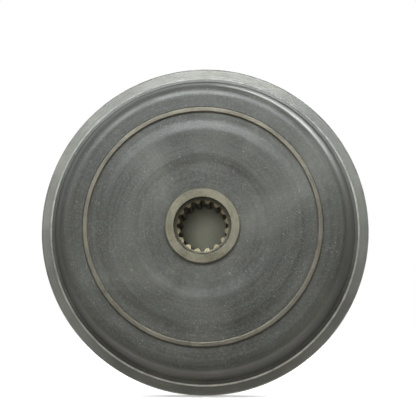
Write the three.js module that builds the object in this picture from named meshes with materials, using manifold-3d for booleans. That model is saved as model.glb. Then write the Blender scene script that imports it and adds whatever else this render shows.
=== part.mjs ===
// A damped flywheel: a primary mass that bolts to a crankshaft, and a splined hub that winds up against
// arc springs in a channel between the primary mass and its pressed front cover.
//
// Millimetres, +Z up. The wheel turns about the Y axis. Its rear face, which meets the crankshaft flange, lies
// at y = 0, and its front faces -Y. Depths are counted forwards from the rear face, so a depth d is at y = -d.
// Angles are counted from +X towards +Z.

import * as THREE from 'three';
import { mergeVertices } from 'three/addons/utils/BufferGeometryUtils.js';
import Module from 'manifold-3d';

const wasm = await Module();
wasm.setup();

// ---- driving dimensions ----

const GAP = 0.3;                      // between faces that touch on the real wheel
const LARGE = 48;                     // facets round a large ring
const MIDDLE = 36;                    // facets round a middle-sized ring
const SMALL = 12;                     // facets round a fastener
const TINY = 8;                       // facets round a rivet

const WHEEL_R = 150;                  // over the rim
const RIM_REAR = 2;
const RIM_FRONT = 18;                 // depth of the rim's front face
const RIM_CHAMFER = 1.2;
const RIM_INNER_R = 127;              // rear of the rim, inside

const PAD_R = 64;                     // machined mounting pad on the rear face
const PAD_FRONT = 26;                 // depth of the thick centre
const REGISTER_R = 36;                // recess that locates on the crankshaft
const REGISTER_DEPTH = 4;
const HOUSING_R = 31;                 // bore that holds the bush

const SPRINGS = 6;
const SPRING_PITCH = (2 * Math.PI) / SPRINGS;
const SPRING_ARC_R = 102;             // radius of the arc that the springs lie on
const SPRING_DEPTH = 38;              // depth of that arc
const COIL_R = 14.5;                  // from the middle of a coil to the middle of its wire
const WIRE_R = 3.5;
const COIL_TURNS = 6;
const STEPS_PER_TURN = 8;
const WIRE_SIDES = 5;
const SPRING_END = THREE.MathUtils.degToRad(6.8);   // from a lug's middle to the first coil

const CHANNEL_FLOOR = 14;             // depth of the channel's floor
const CHANNEL_INNER_R = 83;
const CHANNEL_OUTER_R = 124.2;
const STEP_FRONT = 20;                // land inside the channel, for the diaphragm spring
const WALL_FRONT = 42;                // the channel's outer wall, which tapers outside
const WALL_FOOT_R = 132.8;
const WALL_TOP_R = 127.3;
const LUG_HALF = THREE.MathUtils.degToRad(4);

const FLANGE_REAR = 35;               // drive flange
const FLANGE_THICK = 6;
const FLANGE_R = 82;
const LUG_R = 119;

const SKIN = 3;                       // sheet of the front cover and of the web plate
const COVER_FOOT_R = 140.2;
const COVER_FOOT = RIM_FRONT + GAP;
const COVER_SKIRT_R = 136.8;          // the skirt where it leaves the foot
const COVER_SHOULDER_R = 128;         // the skirt where it reaches the shoulder
const COVER_ROUND = 12;               // radius of the shoulder outside
const COVER_FRONT = 65;
const COVER_LIP_R = 105.4;
const COVER_LIP_REAR = 57.5;

const SEAL_INNER_R = 101;
const SEAL_OUTER_R = 105;
const SEAL_REAR = 58;
const SEAL_FRONT = 67;

const WEB_R = 100.4;
const WEB_REAR = 62;
const BEAD_INNER_R = 56.9;            // shallow bead pressed in the web plate
const BEAD_OUTER_R = 92.3;
const BEAD_SLOPE = 5.2;               // width of its sides
const BEAD_RISE = 1.2;

const HUB_R = 33;
const HUB_FRONT = 68;
const HUB_REAR = 9;
const NOSE_R = 28;
const HUB_FLANGE_R = 60;
const HUB_FLANGE_REAR = 29.5;
const HUB_CHAMFER = 0.8;
const COUNTERBORE_R = 25;
const COUNTERBORE_REAR = 64;

const SPLINE_TEETH = 16;
const SPLINE_ROOT_R = 22.5;
const SPLINE_TIP_R = 20;
const SPACE_HALF_AT_ROOT = 0.17;      // half widths of a tooth space, as shares of the pitch
const SPACE_HALF_AT_TIP = 0.34;

const STUDS = 6;
const STUD_CIRCLE_R = 48;
const STUD_R = 5;
const STUD_LENGTH = 45;
const STUD_ROOTED = 19.5;             // length screwed into the primary mass
const POINT = 1;                      // chamfer on the ends of studs and dowel pins

const RIVETS = 6;
const RIVET_CIRCLE_R = 52;
const RIVET_R = 4;
const RIVET_HEAD_R = 6.5;
const RIVET_SET_HEAD = 2.2;           // height of the flat head behind the hub's flange
const RIVET_FORMED_HEAD = 3.7;        // height of the head formed on the drive flange
const RIVET_CROWN = 2;                // how far the formed head tapers in

const DOWEL_R = 4;
const PLUG_R = 6;
const PLUG_CIRCLE_R = 105;

// ---- shapes ----

const turn = (count, index) => (2 * Math.PI * index) / count;

const onCircle = (radius, angle) => new THREE.Vector2(radius * Math.cos(angle), radius * Math.sin(angle));

// A closed solid from any closed geometry, facing outwards.
function solid(geometry) {
  const bare = geometry.clone();
  bare.deleteAttribute('normal');
  bare.deleteAttribute('uv');
  const merged = mergeVertices(bare, 1e-4);
  const points = merged.getAttribute('position').array;
  const index = merged.getIndex().array;
  const triangles = [];
  let volume = 0;
  const [a, b, c] = [new THREE.Vector3(), new THREE.Vector3(), new THREE.Vector3()];
  for (let i = 0; i < index.length; i += 3) {
    const [p, q, r] = [index[i], index[i + 1], index[i + 2]];
    if (p === q || q === r || r === p) continue;
    triangles.push([p, q, r]);
    a.fromArray(points, 3 * p);
    b.fromArray(points, 3 * q);
    c.fromArray(points, 3 * r);
    volume += a.dot(b.cross(c));
  }
  const facing = volume > 0 ? triangles : triangles.map(([p, q, r]) => [p, r, q]);
  return new wasm.Manifold(new wasm.Mesh({
    numProp: 3,
    vertProperties: new Float32Array(points),
    triVerts: new Uint32Array(facing.flat()),
  }));
}

// A ring or a turned piece: a closed outline of [radius, depth] pairs, turned about the wheel's axis.
function turned(outline, facets) {
  const points = outline.map(([radius, depth]) => new THREE.Vector2(radius, -depth));
  const onAxis = outline[0][0] === 0;
  if (!onAxis) points.push(points[0].clone());
  return solid(new THREE.LatheGeometry(points, facets));
}

// Points on a quarter circle from straight outwards to straight forwards, as [radius, depth] pairs.
const quarter = (centreR, centreDepth, radius, steps) => Array.from({ length: steps + 1 }, (_, i) => [
  centreR + radius * Math.cos((Math.PI / 2) * (i / steps)),
  centreDepth + radius * Math.sin((Math.PI / 2) * (i / steps)),
]);

// A plain ring of four faces.
const ring = (innerR, outerR, rear, front, facets) => turned([
  [innerR, rear],
  [outerR, rear],
  [outerR, front],
  [innerR, front],
], facets);

// A plain round pin or cutter on the wheel's axis.
const pin = (radius, rear, front, facets) => turned([
  [0, rear],
  [radius, rear],
  [radius, front],
  [0, front],
], facets);

// A flat outline in the wheel's plane, given thickness from depth `rear` to depth `front`.
function plate(shape, rear, front) {
  const geometry = new THREE.ExtrudeGeometry(shape, { depth: front - rear, bevelEnabled: false });
  geometry.rotateX(Math.PI / 2);
  geometry.translate(0, -rear, 0);
  return solid(geometry);
}

// The same solid moved to a circle round the axis.
const placed = (body, radius, angle) => {
  const spot = onCircle(radius, angle);
  return body.translate([spot.x, 0, spot.y]);
};

const polygon = (radius, sides) => Array.from({ length: sides }, (_, i) => onCircle(radius, turn(sides, i)));

// A piece of a flat ring between two angles.
function sector(innerR, outerR, from, to, steps) {
  const angles = Array.from({ length: steps + 1 }, (_, i) => from + ((to - from) * i) / steps);
  const outer = angles.map((angle) => onCircle(outerR, angle));
  const inner = angles.map((angle) => onCircle(innerR, angle)).reverse();
  return new THREE.Shape([...outer, ...inner]);
}

// ---- the assembly ----

const wheel = new THREE.Group();

const finishes = {
  casting: { color: 0x23241f, roughness: 0.62, metalness: 0.3 },
  sheet: { color: 0x2a2b27, roughness: 0.55, metalness: 0.3 },
  machined: { color: 0x8d8672, roughness: 0.42, metalness: 0.9 },
  bareRing: { color: 0x857c66, roughness: 0.5, metalness: 0.8 },
  hardened: { color: 0x5c5b57, roughness: 0.4, metalness: 0.9 },
  spring: { color: 0x4a4d52, roughness: 0.35, metalness: 0.9 },
  zinc: { color: 0x9aa7a3, roughness: 0.3, metalness: 0.95 },
  bronze: { color: 0x9c7440, roughness: 0.45, metalness: 0.9 },
  nylon: { color: 0xcfc8b4, roughness: 0.55, metalness: 0 },
};

function add(name, body, finish) {
  const { vertProperties, triVerts } = body.getMesh();
  const geometry = new THREE.BufferGeometry();
  geometry.setAttribute('position', new THREE.BufferAttribute(new Float32Array(vertProperties), 3));
  geometry.setIndex(new THREE.BufferAttribute(new Uint32Array(triVerts), 1));
  geometry.computeVertexNormals();
  const mesh = new THREE.Mesh(geometry, new THREE.MeshStandardMaterial(finishes[finish]));
  mesh.name = name;
  wheel.add(mesh);
}

// Round holes through or into a body, all at one radius.
function drilled(body, radius, circleR, angles, rear, front, facets) {
  let result = body;
  for (const angle of angles) {
    result = result.subtract(placed(pin(radius, rear, front, facets), circleR, angle));
  }
  return result;
}

const studAngles = Array.from({ length: STUDS }, (_, i) => turn(STUDS, i));
const dowelAngles = [turn(12, 1), turn(12, 7)];
const plugAngles = [turn(12, 1), turn(12, 7)];
const rivetAngles = Array.from({ length: RIVETS }, (_, i) => turn(RIVETS, i) + turn(12, 1));
const lugAngles = Array.from({ length: SPRINGS }, (_, i) => i * SPRING_PITCH);

// ---- primary mass ----

const BALANCE_R = 4;
const BALANCE_CIRCLE_R = 138;
const BALANCE_DEPTH = 9;
const balanceAngles = [100, 108, 116, 132].map(THREE.MathUtils.degToRad);
const WEB_HOLLOW = 6;                 // depth of the rear face between pad and rim
const HOLLOW_SLOPE = 4;               // how far its sides lean
const CAST_LUG_INNER_R = 86;          // lugs that back the spring ends, cast with the floor and the wall
const CAST_LUG_OUTER_R = 125.5;
const CAST_LUG_FRONT = 34;
const STUD_HOLE_DEPTH = 22;
const DOWEL_HOLE_DEPTH = 12;

function primaryMass() {
  let body = turned([
    [REGISTER_R, 0],
    [PAD_R, 0],
    [PAD_R + HOLLOW_SLOPE, WEB_HOLLOW],
    [RIM_INNER_R - HOLLOW_SLOPE, WEB_HOLLOW],
    [RIM_INNER_R, RIM_REAR],
    [WHEEL_R - RIM_CHAMFER, RIM_REAR],
    [WHEEL_R, RIM_REAR + RIM_CHAMFER],
    [WHEEL_R, RIM_FRONT - RIM_CHAMFER],
    [WHEEL_R - RIM_CHAMFER, RIM_FRONT],
    [WALL_FOOT_R, RIM_FRONT],
    [WALL_TOP_R, WALL_FRONT],
    [CHANNEL_OUTER_R, WALL_FRONT],
    [CHANNEL_OUTER_R, CHANNEL_FLOOR],
    [CHANNEL_INNER_R, CHANNEL_FLOOR],
    [CHANNEL_INNER_R, STEP_FRONT],
    [PAD_R, STEP_FRONT],
    [PAD_R, PAD_FRONT],
    [HOUSING_R, PAD_FRONT],
    [HOUSING_R, REGISTER_DEPTH],
    [REGISTER_R, REGISTER_DEPTH],
  ], LARGE);
  for (const angle of lugAngles) {
    const outline = sector(CAST_LUG_INNER_R, CAST_LUG_OUTER_R, angle - LUG_HALF, angle + LUG_HALF, 1);
    body = body.add(plate(outline, CHANNEL_FLOOR - 1, CAST_LUG_FRONT));
  }
  body = drilled(body, STUD_R + GAP, STUD_CIRCLE_R, studAngles, -1, STUD_HOLE_DEPTH, SMALL);
  body = drilled(body, DOWEL_R + GAP, STUD_CIRCLE_R, dowelAngles, -1, DOWEL_HOLE_DEPTH, SMALL);
  body = drilled(body, PLUG_R + GAP, PLUG_CIRCLE_R, plugAngles, 0, CHANNEL_FLOOR + 1, SMALL);
  return drilled(body, BALANCE_R, BALANCE_CIRCLE_R, balanceAngles, 0, BALANCE_DEPTH, SMALL);
}

add('primary_mass', primaryMass(), 'casting');

// ---- front cover, with its stop blocks ----

const roundCentreR = COVER_SHOULDER_R - COVER_ROUND;
const roundCentreDepth = COVER_FRONT - COVER_ROUND;
const FOOT_THIN = 0.5;                // how much the sheet thins where the foot turns out

add('front_cover', turned([
  [COVER_FOOT_R, COVER_FOOT],
  [COVER_FOOT_R, COVER_FOOT + SKIN - FOOT_THIN],
  [COVER_SKIRT_R, COVER_FOOT + SKIN],
  ...quarter(roundCentreR, roundCentreDepth, COVER_ROUND, 3),
  [COVER_LIP_R, COVER_FRONT],
  [COVER_LIP_R, COVER_LIP_REAR],
  [COVER_LIP_R + SKIN, COVER_LIP_REAR],
  [COVER_LIP_R + SKIN, COVER_FRONT - SKIN],
  ...quarter(roundCentreR, roundCentreDepth, COVER_ROUND - SKIN, 2).reverse(),
  [COVER_SKIRT_R - SKIN + FOOT_THIN, COVER_FOOT],
], LARGE), 'sheet');

const BLOCK_INNER_R = 90;
const BLOCK_OUTER_R = 117;
const BLOCK_REAR = 42.2;
const BLOCK_FRONT = COVER_LIP_REAR - GAP;

lugAngles.forEach((angle, i) => {
  const outline = sector(BLOCK_INNER_R, BLOCK_OUTER_R, angle - LUG_HALF, angle + LUG_HALF, 1);
  add(`stop_block_${i + 1}`, plate(outline, BLOCK_REAR, BLOCK_FRONT), 'hardened');
});

// ---- seal ring ----

add('seal_ring', ring(SEAL_INNER_R, SEAL_OUTER_R, SEAL_REAR, SEAL_FRONT, LARGE), 'bareRing');

// ---- web plate, pressed on the hub ----

const WEB_FRONT = WEB_REAR + SKIN;

add('web_plate', turned([
  [HUB_R + GAP, WEB_REAR],
  [BEAD_INNER_R, WEB_REAR],
  [BEAD_INNER_R + BEAD_SLOPE, WEB_REAR + BEAD_RISE],
  [BEAD_OUTER_R - BEAD_SLOPE, WEB_REAR + BEAD_RISE],
  [BEAD_OUTER_R, WEB_REAR],
  [WEB_R, WEB_REAR],
  [WEB_R, WEB_FRONT],
  [BEAD_OUTER_R, WEB_FRONT],
  [BEAD_OUTER_R - BEAD_SLOPE, WEB_FRONT + BEAD_RISE],
  [BEAD_INNER_R + BEAD_SLOPE, WEB_FRONT + BEAD_RISE],
  [BEAD_INNER_R, WEB_FRONT],
  [HUB_R + GAP, WEB_FRONT],
], LARGE), 'sheet');

// ---- hub sleeve with its internal spline ----

const HUB_FLANGE_FRONT = FLANGE_REAR - GAP;
const BLANK_R = SPLINE_TIP_R - 1;     // the hub's hole before the spline is cut

// The outline of the splined shaft that the hub slides on to, tooth by tooth.
function splineOutline() {
  const pitch = turn(SPLINE_TEETH, 1);
  const points = [];
  for (let tooth = 0; tooth < SPLINE_TEETH; tooth += 1) {
    const middle = tooth * pitch;
    points.push(onCircle(SPLINE_TIP_R, middle - SPACE_HALF_AT_TIP * pitch));
    points.push(onCircle(SPLINE_ROOT_R, middle - SPACE_HALF_AT_ROOT * pitch));
    points.push(onCircle(SPLINE_ROOT_R, middle + SPACE_HALF_AT_ROOT * pitch));
    points.push(onCircle(SPLINE_TIP_R, middle + SPACE_HALF_AT_TIP * pitch));
  }
  return new THREE.Shape(points);
}

const hubBlank = turned([
  [BLANK_R, HUB_REAR],
  [NOSE_R, HUB_REAR],
  [NOSE_R, HUB_FLANGE_REAR],
  [HUB_FLANGE_R, HUB_FLANGE_REAR],
  [HUB_FLANGE_R, HUB_FLANGE_FRONT],
  [HUB_R, HUB_FLANGE_FRONT],
  [HUB_R, HUB_FRONT - HUB_CHAMFER],
  [HUB_R - HUB_CHAMFER, HUB_FRONT],
  [COUNTERBORE_R, HUB_FRONT],
  [COUNTERBORE_R, COUNTERBORE_REAR],
  [BLANK_R, COUNTERBORE_REAR],
], LARGE);

const rivetHole = RIVET_R + GAP;
const splined = hubBlank.subtract(plate(splineOutline(), HUB_REAR - 1, COUNTERBORE_REAR + 1));

add(
  'hub_sleeve',
  drilled(splined, rivetHole, RIVET_CIRCLE_R, rivetAngles, HUB_FLANGE_REAR - 1, FLANGE_REAR, SMALL),
  'machined',
);

// ---- drive flange and its rivets ----

function flangeOutline() {
  const points = [];
  for (const angle of lugAngles) {
    points.push(onCircle(FLANGE_R, angle - LUG_HALF));
    points.push(onCircle(LUG_R, angle - LUG_HALF));
    points.push(onCircle(LUG_R, angle + LUG_HALF));
    points.push(onCircle(FLANGE_R, angle + LUG_HALF));
    for (let step = 1; step < 6; step += 1) {
      points.push(onCircle(FLANGE_R, angle + (SPRING_PITCH * step) / 6));
    }
  }
  return new THREE.Shape(points);
}

const FLANGE_FIT = 0.5;               // round the hub sleeve
const flangeFront = FLANGE_REAR + FLANGE_THICK;
const flangeShape = flangeOutline();
flangeShape.holes.push(new THREE.Path(polygon(HUB_R + FLANGE_FIT, MIDDLE)));
const flange = plate(flangeShape, FLANGE_REAR, flangeFront);

add(
  'drive_flange',
  drilled(flange, rivetHole, RIVET_CIRCLE_R, rivetAngles, FLANGE_REAR - 1, flangeFront + 1, SMALL),
  'hardened',
);

const setHeadFront = HUB_FLANGE_REAR - GAP;
const setHeadRear = setHeadFront - RIVET_SET_HEAD;
const formedHeadRear = flangeFront + GAP;
const formedHeadFront = formedHeadRear + RIVET_FORMED_HEAD;
const rivet = turned([
  [0, setHeadRear],
  [RIVET_HEAD_R, setHeadRear],
  [RIVET_HEAD_R, setHeadFront],
  [RIVET_R, setHeadFront],
  [RIVET_R, formedHeadRear],
  [RIVET_HEAD_R, formedHeadRear],
  [RIVET_HEAD_R - RIVET_CROWN, formedHeadFront],
  [0, formedHeadFront],
], TINY);

rivetAngles.forEach((angle, i) => add(`rivet_${i + 1}`, placed(rivet, RIVET_CIRCLE_R, angle), 'hardened'));

// ---- springs and the shoes that they slide on ----

class ArcSpring extends THREE.Curve {
  constructor(start, end) {
    super();
    this.start = start;
    this.end = end;
  }

  getPoint(t, target = new THREE.Vector3()) {
    const along = this.start + (this.end - this.start) * t;
    const round = 2 * Math.PI * COIL_TURNS * t;
    const spot = onCircle(SPRING_ARC_R + COIL_R * Math.cos(round), along);
    return target.set(spot.x, -(SPRING_DEPTH + COIL_R * Math.sin(round)), spot.y);
  }
}

const SHOE_INNER_R = 120.4;
const SHOE_OUTER_R = 123.6;
const SHOE_REAR = 29;
const SHOE_FRONT = 45;
const SHOE_END = THREE.MathUtils.degToRad(8);

lugAngles.forEach((angle, i) => {
  const nextLug = angle + SPRING_PITCH;
  const coil = new THREE.ExtrudeGeometry(new THREE.Shape(polygon(WIRE_R, WIRE_SIDES)), {
    extrudePath: new ArcSpring(angle + SPRING_END, nextLug - SPRING_END),
    steps: COIL_TURNS * STEPS_PER_TURN,
    bevelEnabled: false,
  });
  add(`spring_${i + 1}`, solid(coil), 'spring');
  const shoe = sector(SHOE_INNER_R, SHOE_OUTER_R, angle + SHOE_END, nextLug - SHOE_END, 6);
  add(`slide_shoe_${i + 1}`, plate(shoe, SHOE_REAR, SHOE_FRONT), 'nylon');
});

// ---- friction pack, thrust washer, bush and closing cap ----

const FRICTION_INNER_R = 66;
const FRICTION_OUTER_R = 80;
const FRICTION_REAR = 28.2;
const DIAPHRAGM_EDGE = 1;             // the diaphragm spring is this much narrower at each edge
const DIAPHRAGM_THICK = 1.7;

const frictionRing = ring(FRICTION_INNER_R, FRICTION_OUTER_R, FRICTION_REAR, FLANGE_REAR - GAP, MIDDLE);
add('friction_ring', frictionRing, 'nylon');

const diaphragmRear = STEP_FRONT + GAP;
const diaphragmFront = FRICTION_REAR - GAP;

add('diaphragm_spring', turned([
  [FRICTION_INNER_R + DIAPHRAGM_EDGE, diaphragmRear],
  [FRICTION_INNER_R + DIAPHRAGM_EDGE, diaphragmRear + DIAPHRAGM_THICK],
  [FRICTION_OUTER_R - DIAPHRAGM_EDGE, diaphragmFront],
  [FRICTION_OUTER_R - DIAPHRAGM_EDGE, diaphragmFront - DIAPHRAGM_THICK],
], MIDDLE), 'spring');

const WASHER_INNER_R = 31.5;
const WASHER_OUTER_R = 44;
const BUSH_FIT = 0.4;                 // round the hub's nose, and inside the housing bore
const BUSH_REAR = 9.5;
const CAP_R = HOUSING_R - GAP;        // cap pressed into the housing bore, dished forwards
const CAP_REAR = 4.4;
const CAP_EDGE_FRONT = 7.8;
const CAP_WALL = 1.6;
const CAP_DISH_R = 24;
const CAP_DISH_RISE = 1.8;

const thrustWasher = ring(WASHER_INNER_R, WASHER_OUTER_R, PAD_FRONT + GAP, setHeadFront, MIDDLE);
add('thrust_washer', thrustWasher, 'bronze');

const supportBush = ring(NOSE_R + BUSH_FIT, HOUSING_R - BUSH_FIT, BUSH_REAR, PAD_FRONT - GAP, MIDDLE);
add('support_bush', supportBush, 'bronze');

add('closing_cap', turned([
  [0, CAP_REAR + CAP_DISH_RISE],
  [CAP_DISH_R, CAP_REAR],
  [CAP_R, CAP_REAR],
  [CAP_R, CAP_EDGE_FRONT],
  [CAP_R - CAP_WALL, CAP_EDGE_FRONT],
  [CAP_R - CAP_WALL, CAP_REAR + CAP_WALL],
  [CAP_DISH_R, CAP_REAR + CAP_WALL],
  [0, CAP_REAR + CAP_DISH_RISE + CAP_WALL],
], MIDDLE), 'zinc');

// ---- studs, dowel pins and grease plugs ----

const studRear = STUD_ROOTED - STUD_LENGTH;
const stud = turned([
  [0, studRear],
  [STUD_R - POINT, studRear],
  [STUD_R, studRear + POINT],
  [STUD_R, STUD_ROOTED - POINT],
  [STUD_R - POINT, STUD_ROOTED],
  [0, STUD_ROOTED],
], SMALL);

studAngles.forEach((angle, i) => add(`stud_${i + 1}`, placed(stud, STUD_CIRCLE_R, angle), 'zinc'));

const DOWEL_PROUD = 6;
const DOWEL_FRONT = DOWEL_HOLE_DEPTH - 1;
const dowel = turned([
  [0, -DOWEL_PROUD],
  [DOWEL_R - POINT, -DOWEL_PROUD],
  [DOWEL_R, POINT - DOWEL_PROUD],
  [DOWEL_R, DOWEL_FRONT],
  [0, DOWEL_FRONT],
], SMALL);

dowelAngles.forEach((angle, i) => add(`dowel_pin_${i + 1}`, placed(dowel, STUD_CIRCLE_R, angle), 'hardened'));

const PLUG_SUNK = 0.5;                // below both faces of the floor
const PLUG_REAR = WEB_HOLLOW + PLUG_SUNK;
const PLUG_FRONT = CHANNEL_FLOOR - PLUG_SUNK;
const SOCKET_R = 3.4;
const SOCKET_DEPTH = 4;
const socket = plate(new THREE.Shape(polygon(SOCKET_R, 6)), PLUG_REAR - 1, PLUG_REAR + SOCKET_DEPTH);
const plug = pin(PLUG_R, PLUG_REAR, PLUG_FRONT, SMALL).subtract(socket);

plugAngles.forEach((angle, i) => add(`grease_plug_${i + 1}`, placed(plug, PLUG_CIRCLE_R, angle), 'hardened'));

export default wheel;
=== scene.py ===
"""Looks for the damped flywheel: a finer mesh and a procedural finish for each CAD node, and the stage.

Sizes are in millimetres until a mesh is made; finishes, floor, lights and camera are in metres. A depth d is
counted forwards from the rear face, at y = -d, and angles are counted from +X towards +Z.
"""

import math

import bmesh
import bpy
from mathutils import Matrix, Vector


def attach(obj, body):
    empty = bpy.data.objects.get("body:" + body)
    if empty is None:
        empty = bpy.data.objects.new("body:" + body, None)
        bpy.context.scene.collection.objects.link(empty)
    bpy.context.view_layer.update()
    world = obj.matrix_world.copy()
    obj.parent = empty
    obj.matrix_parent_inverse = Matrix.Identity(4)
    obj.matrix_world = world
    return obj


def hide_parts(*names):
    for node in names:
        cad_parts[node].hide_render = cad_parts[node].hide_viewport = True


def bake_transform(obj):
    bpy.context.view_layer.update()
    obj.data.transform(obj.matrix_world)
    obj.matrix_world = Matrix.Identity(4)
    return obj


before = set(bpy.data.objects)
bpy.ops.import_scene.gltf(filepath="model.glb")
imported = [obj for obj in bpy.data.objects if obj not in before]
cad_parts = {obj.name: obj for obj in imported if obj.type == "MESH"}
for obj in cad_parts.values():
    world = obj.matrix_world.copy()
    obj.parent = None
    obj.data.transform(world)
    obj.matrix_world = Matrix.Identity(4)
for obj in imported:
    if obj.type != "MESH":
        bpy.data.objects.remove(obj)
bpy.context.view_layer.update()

scene = bpy.context.scene
MM = 0.001
TURN = 2 * math.pi

# ---- driving dimensions ----

GAP = 0.3                       # between faces that touch on the real wheel
OVERCUT = 1                     # how far a cutter stands past the face that it cuts

RIM_SEGMENTS = 256
HUB_SEGMENTS = 192

SPRINGS = 6
LUG_ANGLES = [i * TURN / SPRINGS for i in range(SPRINGS)]      # lugs, stop blocks and studs
LUG_HALF = math.radians(4)
RIVET_ANGLES = [angle + TURN / 12 for angle in LUG_ANGLES]
PAIR_ANGLES = [TURN / 12, TURN * 7 / 12]                       # dowel pins and grease plugs
BALANCE_ANGLES = [math.radians(a) for a in (100, 108, 116, 132)]

WHEEL_R = 150                   # over the rim
RIM_REAR = 2
RIM_FRONT = 18
RIM_CHAMFER = 1.2
RIM_INNER_R = 127               # rear of the rim, inside
PAD_R = 64                      # machined mounting pad on the rear face
PAD_FRONT = 26                  # front of the thick centre
REGISTER_R = 36                 # recess that locates on the crankshaft
REGISTER_DEPTH = 4
HOUSING_R = 31                  # bore that holds the bush
DISC_REAR = 6                   # cast face between the pad and the rim
DISC_SLOPE = 4                  # width of the slopes at its two edges

CHANNEL_FLOOR = 14
CHANNEL_INNER_R = 83
CHANNEL_OUTER_R = 124.2
STEP_FRONT = 20                 # land inside the channel, for the diaphragm spring
WALL_FRONT = 42                 # the channel's outer wall, which tapers outside
WALL_FOOT_R = 132.8
WALL_TOP_R = 127.3

SKIN = 3                        # sheet of the front cover and of the web plate
COVER_FOOT_R = 140.2
COVER_FOOT = RIM_FRONT + GAP
COVER_SHOULDER_R = 128
COVER_ROUND = 12                # radius of the shoulder outside
COVER_FRONT = 65
COVER_LIP_R = 105.4
COVER_LIP_REAR = 57.5

SEAL_INNER_R = 101
SEAL_OUTER_R = 105
SEAL_REAR = 58
SEAL_FRONT = 67
SEAL_LIP_REAR = 63.8
SEAL_LIP_FRONT = 64.8
SEAL_LIP_CLEAR = 0.03           # from a lip's edge to the plate beside it

WEB_R = 100.4
WEB_BORE_R = 33.05
BEAD_INNER_R = 55.4             # shallow bead pressed in the web plate
BEAD_OUTER_R = 93.8
BEAD_SLOPE = 8.2                # width of its sides
BEAD_RISE = 1.2
BEAD_EASE = 26                  # radius of its bends

HUB_R = 33
HUB_FRONT = 68
HUB_REAR = 9
HUB_BLANK_R = 19                # bore before the spline is cut
HUB_CHAMFER = 0.8
NOSE_R = 28
FLANGE_REAR = 35                # drive flange
FLANGE_FRONT = 41
FLANGE_R = 82
LUG_R = 119
HUB_FLANGE_R = 60
HUB_FLANGE_REAR = 29.5
HUB_FLANGE_FRONT = FLANGE_REAR - GAP
COUNTERBORE_R = 25
COUNTERBORE_REAR = 64
SPLINE_TEETH = 16
SPLINE_ROOT_R = 22.5

STUD_CIRCLE_R = 48
STUD_R = 5
DOWEL_R = 4
RIVET_CIRCLE_R = 52
RIVET_R = 4
RIVET_HEAD_R = 6.5
PLUG_CIRCLE_R = 105
PLUG_R = 6
BALANCE_CIRCLE_R = 138
BALANCE_R = 4.0

# ---- mesh helpers ----


def mesh_object(name, points, faces):
    """A mesh with outward normals from points in millimetres."""
    mesh = bpy.data.meshes.new(name)
    mesh.from_pydata([(x * MM, y * MM, z * MM) for x, y, z in points], [], faces)
    made = bmesh.new()
    made.from_mesh(mesh)
    bmesh.ops.remove_doubles(made, verts=made.verts, dist=1e-7)
    bmesh.ops.recalc_face_normals(made, faces=made.faces)
    made.to_mesh(mesh)
    made.free()
    piece = bpy.data.objects.new(name, mesh)
    scene.collection.objects.link(piece)
    return piece


def rounded(corners, steps=5):
    """An outline of (radius, depth) points from corners (radius, depth, fillet), closed."""
    points = []
    for i, corner in enumerate(corners):
        here = Vector(corner[:2])
        fillet = corner[2] if len(corner) > 2 else 0
        if not fillet:
            points.append(tuple(here))
            continue
        back = (Vector(corners[i - 1][:2]) - here).normalized()
        ahead = (Vector(corners[(i + 1) % len(corners)][:2]) - here).normalized()
        half = back.angle(ahead) / 2
        centre = here + (back + ahead).normalized() * (fillet / math.sin(half))
        first = here + back * (fillet / math.tan(half)) - centre
        last = here + ahead * (fillet / math.tan(half)) - centre
        start = math.atan2(first.y, first.x)
        sweep = math.atan2(last.y, last.x) - start
        sweep = (sweep + math.pi) % TURN - math.pi
        for step in range(steps + 1):
            angle = start + sweep * step / steps
            points.append((centre.x + fillet * math.cos(angle), centre.y + fillet * math.sin(angle)))
    return points


def ring_section(inner, outer, rear, front, fillet):
    """A ring's outline with four corners of one fillet, from its inner edge at the rear, going outwards."""
    corners = [(inner, rear), (outer, rear), (outer, front), (inner, front)]
    return rounded([(*corner, fillet) for corner in corners], 3)


def lathe(name, outline, segments, at=(0, 0), shift=None):
    """A turned piece: a closed (radius, depth) outline turned about an axis along Y through at = (x, z).
    shift(radius, depth, angle) may return a new (radius, depth)."""
    points, faces, rows = [], [], []
    for radius, depth in outline:
        if radius < 1e-6:
            rows.append([len(points)])
            points.append((at[0], -depth, at[1]))
            continue
        row = []
        for k in range(segments):
            angle = TURN * k / segments
            r, d = shift(radius, depth, angle) if shift else (radius, depth)
            row.append(len(points))
            points.append((at[0] + r * math.cos(angle), -d, at[1] + r * math.sin(angle)))
        rows.append(row)
    for i, row in enumerate(rows):
        after = rows[(i + 1) % len(rows)]
        if len(row) == 1 and len(after) == 1:
            continue
        for k in range(segments):
            n = (k + 1) % segments
            if len(row) == 1:
                faces.append((row[0], after[n], after[k]))
            elif len(after) == 1:
                faces.append((row[k], row[n], after[0]))
            else:
                faces.append((row[k], row[n], after[n], after[k]))
    return mesh_object(name, points, faces)


def prism(name, outline, rear, front):
    """A flat outline of (x, z) points given thickness between two depths."""
    count = len(outline)
    points = [(x, -rear, z) for x, z in outline] + [(x, -front, z) for x, z in outline]
    faces = [tuple(range(count)), tuple(range(count, 2 * count))]
    faces += [(k, (k + 1) % count, count + (k + 1) % count, count + k) for k in range(count)]
    return mesh_object(name, points, faces)


def swept(name, section, frames):
    """A section of (u, v) points carried along frames of (origin, u axis, v axis), closed at both ends."""
    count = len(section)
    points, faces = [], []
    for origin, u_axis, v_axis in frames:
        points += [tuple(origin + u_axis * u + v_axis * v) for u, v in section]
    for i in range(len(frames) - 1):
        for k in range(count):
            n = (k + 1) % count
            faces.append((i * count + k, i * count + n, (i + 1) * count + n, (i + 1) * count + k))
    faces.append(tuple(range(count)))
    faces.append(tuple(range((len(frames) - 1) * count, len(frames) * count)))
    return mesh_object(name, points, faces)


def plug_cutter(radius, rear, front, segments, at=(0, 0)):
    """A cutter for a plain round hole about the point at = (x, z)."""
    return lathe("cut", [(0, rear), (radius, rear), (radius, front), (0, front)], segments, at)


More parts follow.
